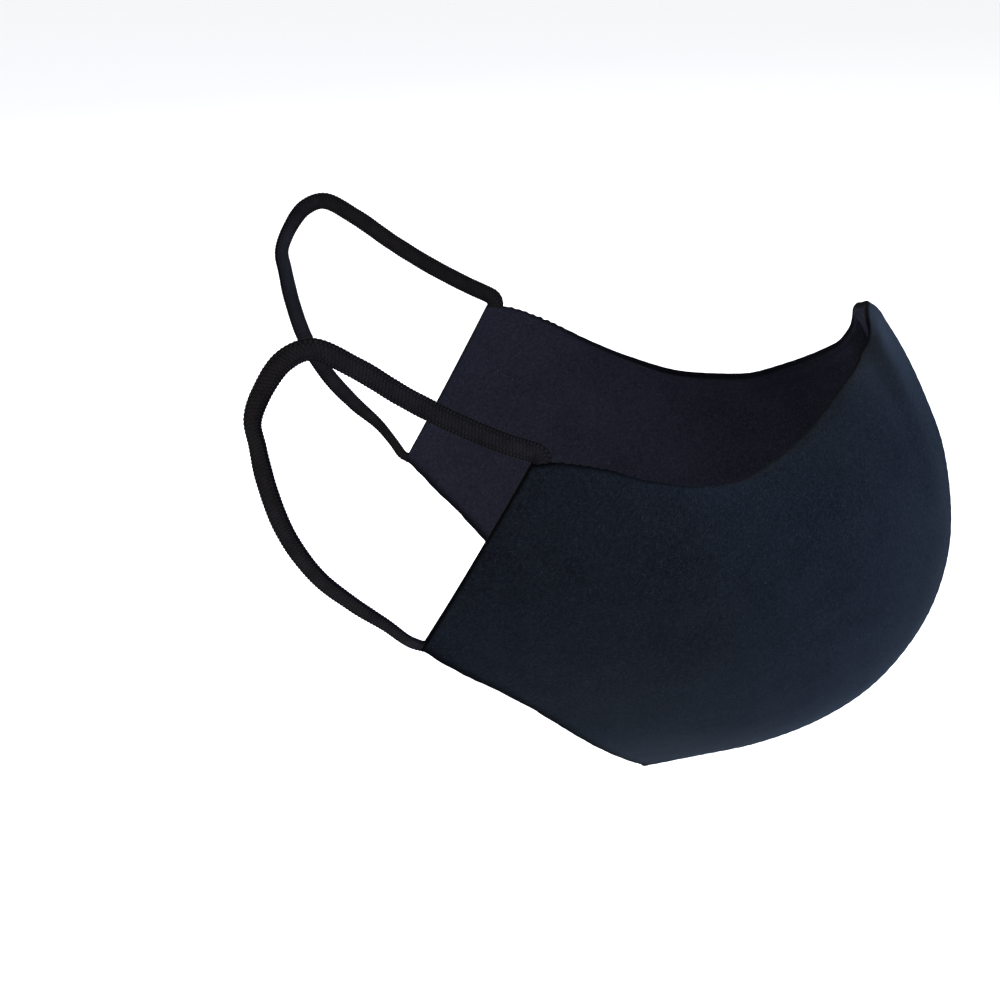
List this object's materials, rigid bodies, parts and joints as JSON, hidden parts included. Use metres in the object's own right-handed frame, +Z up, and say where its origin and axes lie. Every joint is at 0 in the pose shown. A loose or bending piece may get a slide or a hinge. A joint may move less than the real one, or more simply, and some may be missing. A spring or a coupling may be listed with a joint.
{
  "type": "cloth face mask",
  "caption": "Contoured cloth face mask in its worn form, with a seam down the middle and a flat elastic loop for each ear.",
  "frame": {"origin": "inner face of the middle seam at its nose end, where the mask sits on the bridge of the nose", "axes": "+Z up the wearer's face, -Y the way the wearer faces, +X to the wearer's left"},
  "size_m": [0.1552, 0.1588, 0.1268],
  "materials": {
    "cloth": "matt black cloth with a slight navy tint",
    "elastic": "ribbed black elastic"
  },
  "bodies": {
    "root": {"panel_right": "cloth", "panel_left": "cloth", "ear_loop_right": "elastic", "ear_loop_left": "elastic"}
  },
  "joints": []
}
